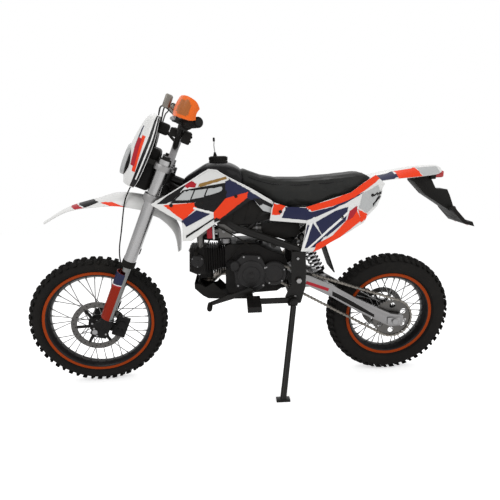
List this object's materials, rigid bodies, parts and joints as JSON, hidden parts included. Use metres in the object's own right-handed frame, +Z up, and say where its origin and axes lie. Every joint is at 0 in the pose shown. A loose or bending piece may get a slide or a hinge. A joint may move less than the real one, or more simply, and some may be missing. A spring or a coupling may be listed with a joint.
{
  "type": "enduro motorcycle (pit-bike type)",
  "caption": "Small enduro motorcycle with knobby tyres, wire wheels, long-travel fork, shrouds and hand guards, leaning on its side stand.",
  "frame": {"origin": "on the floor, under the middle of the bounding box", "axes": "+X towards the motorcycle's rear, -Y towards its left side, on which its stand is, +Z up"},
  "size_m": [1.8562, 0.7908, 1.2287],
  "materials": {
    "axle_steel": "zinc",
    "black_alloy": "satin",
    "black_plastic": "grained",
    "cable_black": "satin",
    "caliper_black": "satin",
    "carb_alloy": "cast",
    "chain_steel": "oiled",
    "clamp_alloy": "cast",
    "disc_steel": "ground",
    "engine_black": "satin",
    "exhaust_steel": "heated",
    "flap_rubber": "matt",
    "fork_silver": "satin",
    "frame_paint": "satin",
    "grip_rubber": "matt",
    "hub_alloy": "cast",
    "lever_black": "satin",
    "orange_plastic": "gloss",
    "red_lens": "gloss",
    "red_plastic": "gloss",
    "seat_cover": "grained vinyl",
    "shock_red": "satin",
    "silencer_alloy": "brushed",
    "spoke_steel": "bright",
    "sprocket_steel": "satin",
    "stand_black": "satin",
    "swingarm_silver": "satin",
    "tank_black": "satin",
    "tyre_rubber": "matt",
    "white_plastic": "gloss"
  },
  "bodies": {
    "chassis": {"main_frame": "frame_paint", "subframe": "frame_paint", "crankcase": "engine_black", "engine_covers": "engine_black", "cylinder": "engine_black", "carburettor": "carb_alloy", "airbox": "black_plastic", "exhaust_header": "exhaust_steel", "silencer": "silencer_alloy", "skid_plate": "black_plastic", "fuel_tank": "tank_black", "fuel_cap": "black_plastic", "seat": "seat_cover", "shrouds": "white_plastic", "side_panels": "red_plastic", "rear_fender": "white_plastic", "tail_lamp": "red_lens", "plate_holder": "black_plastic", "swingarm": "swingarm_silver", "rear_axle": "axle_steel", "shock_absorber": "shock_red", "mud_flap": "flap_rubber", "drive_chain": "chain_steel", "rear_caliper": "caliper_black", "foot_pegs": "lever_black", "foot_levers": "lever_black"},
    "front_wheel": {"front_tyre": "tyre_rubber", "front_rim": "black_alloy", "front_hub": "hub_alloy", "front_spokes": "spoke_steel", "front_brake_disc": "disc_steel"},
    "rear_wheel": {"rear_tyre": "tyre_rubber", "rear_rim": "black_alloy", "rear_hub": "hub_alloy", "rear_spokes": "spoke_steel", "rear_brake_disc": "disc_steel", "rear_sprocket": "sprocket_steel"},
    "fork": {"front_axle": "axle_steel", "fork_legs": "fork_silver", "fork_guards": "red_plastic", "hand_guards": "orange_plastic", "triple_clamps": "clamp_alloy", "front_fender": "white_plastic", "handlebar": "black_alloy", "grips": "grip_rubber", "levers": "lever_black", "headlamp_mask": "white_plastic", "headlamp": "black_plastic", "front_caliper": "caliper_black", "control_cables": "cable_black"},
    "stand": {"side_stand": "stand_black"}
  },
  "joints": [
    {"name": "steering", "type": "hinge", "parent": "chassis", "child": "fork", "pos_m": [-0.32247, 0.04185, 0.85061], "axis": [0.4078, -0.1695, 0.8972], "range_deg": [-46.4, 33.6]},
    {"name": "front_wheel_spin", "type": "hinge", "parent": "fork", "child": "front_wheel", "pos_m": [-0.64332, 0.14317, 0.27996], "axis": [-0.1019, 0.968, 0.2292], "continuous": true},
    {"name": "rear_wheel_spin", "type": "hinge", "parent": "chassis", "child": "rear_wheel", "pos_m": [0.60897, 0.15273, 0.26438], "axis": [-0.0001, 0.9826, 0.1857], "continuous": true},
    {"name": "side_stand", "type": "hinge", "parent": "chassis", "child": "stand", "pos_m": [0.17631, 0.00382, 0.35199], "axis": [0.0958, -0.9903, -0.1009], "range_deg": [0, 92]}
  ]
}
